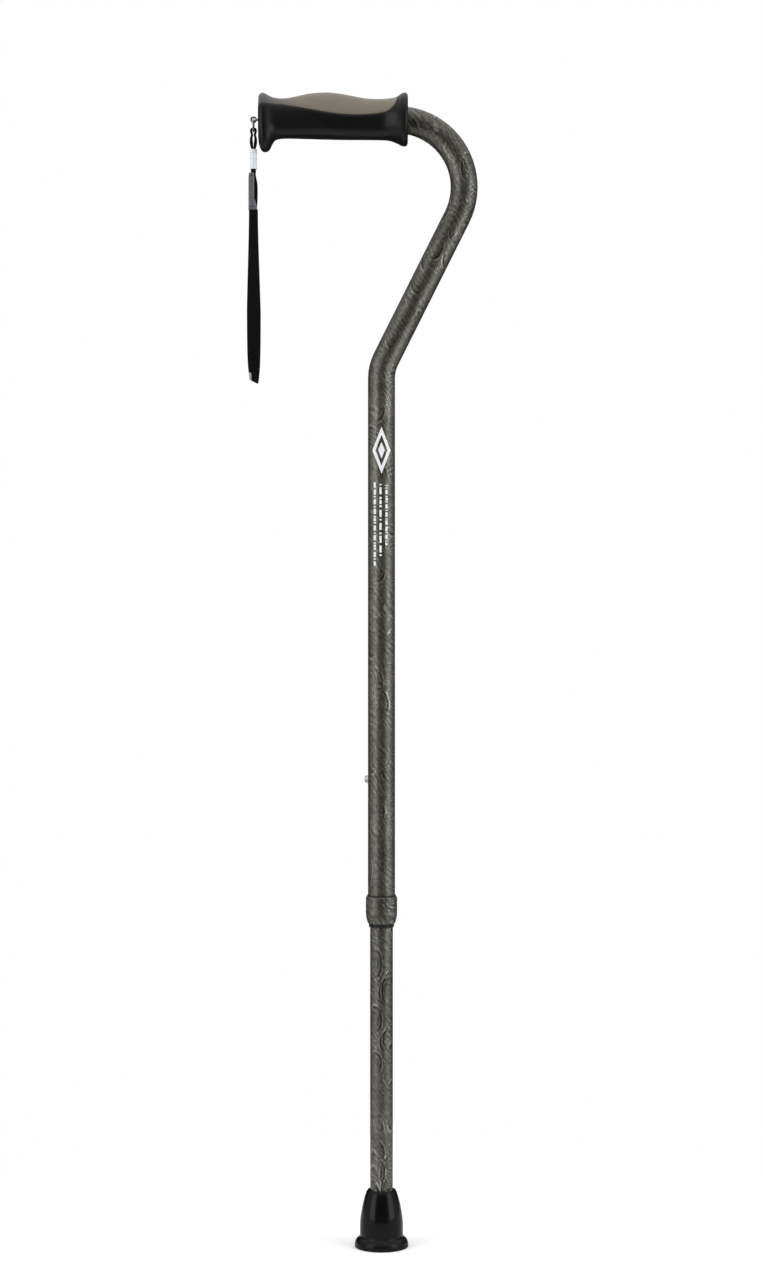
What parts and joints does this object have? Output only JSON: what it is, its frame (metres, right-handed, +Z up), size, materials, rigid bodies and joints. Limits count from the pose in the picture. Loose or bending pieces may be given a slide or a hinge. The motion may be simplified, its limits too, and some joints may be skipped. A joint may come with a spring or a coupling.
{
  "type": "single point cane",
  "caption": "Height-adjustable walking cane with an offset handle, one rubber tip, a push button, a lock nut and a wrist strap.",
  "frame": {"origin": "centre of the rubber tip's base, on the shaft's axis", "axes": "+Z up the shaft, -X from the shaft towards the free end of the handle, Y across the handle"},
  "size_m": [0.1929, 0.0446, 0.9653],
  "materials": {
    "tube_film": "dark bronze-grey printed film with fine hatching and sparse arcs",
    "lower_tube_film": "the same printed film on the lower tube",
    "nut_film": "the same printed film on a smooth nut",
    "black_plastic": "satin moulded black",
    "bright_steel": "nickel-plated steel",
    "black_rubber": "glossy moulded rubber",
    "grip_black": "satin black moulding",
    "palm_grey": "soft matt grey inlay",
    "strap_black": "woven black webbing and cord",
    "clasp_clear": "frosted translucent plastic",
    "band_grey": "grey reflective tape"
  },
  "bodies": {
    "upper": {"upper_tube": "tube_film", "grip_core": "black_plastic", "grip_body": "grip_black", "palm_rest": "palm_grey", "grip_end_plug": "black_plastic", "strap_eye": "bright_steel", "collet_bushing": "black_plastic"},
    "nut": {"lock_nut": "nut_film"},
    "lower": {"lower_tube": "lower_tube_film", "tube_top_bush": "black_plastic", "spring_clip": "bright_steel", "rubber_tip": "black_rubber", "tip_washer": "bright_steel"},
    "button": {"snap_button": "bright_steel"},
    "ring": {"strap_ring": "bright_steel"},
    "clasp": {"cord_loop": "strap_black", "cord_knot": "strap_black", "clasp_cap": "clasp_clear"},
    "strap": {"clasp_socket": "clasp_clear", "strap_neck": "strap_black", "reflective_band": "band_grey", "wrist_webbing": "strap_black"}
  },
  "joints": [
    {"name": "height_adjust", "type": "slide", "parent": "upper", "child": "lower", "axis": [0, 0, 1], "range_m": [-0.0381, 0.1905]},
    {"name": "button_press", "type": "slide", "parent": "lower", "child": "button", "axis": [0.9511, -0.309, 0], "range_m": [0, 0.0045], "stiffness_N_per_m": 800, "springref_m": -0.001, "deforming": ["spring_clip"]},
    {"name": "nut_turn", "type": "hinge", "parent": "upper", "child": "nut", "pos_m": [0, 0, 0.281], "axis": [0, 0, 1], "range_deg": [0, 360]},
    {"name": "strap_swing", "type": "hinge", "parent": "upper", "child": "ring", "pos_m": [-0.1072, 0, 0.9425], "axis": [0, 1, 0], "range_deg": [0, 100]},
    {"name": "strap_side_swing", "type": "hinge", "parent": "ring", "child": "clasp", "pos_m": [-0.1072, 0, 0.93755], "axis": [1, 0, 0], "range_deg": [-75, 75]},
    {"name": "clasp_turn", "type": "hinge", "parent": "clasp", "child": "strap", "pos_m": [-0.1072, 0, 0.90935], "axis": [0, 0, 1], "range_deg": [-90, 90]}
  ]
}
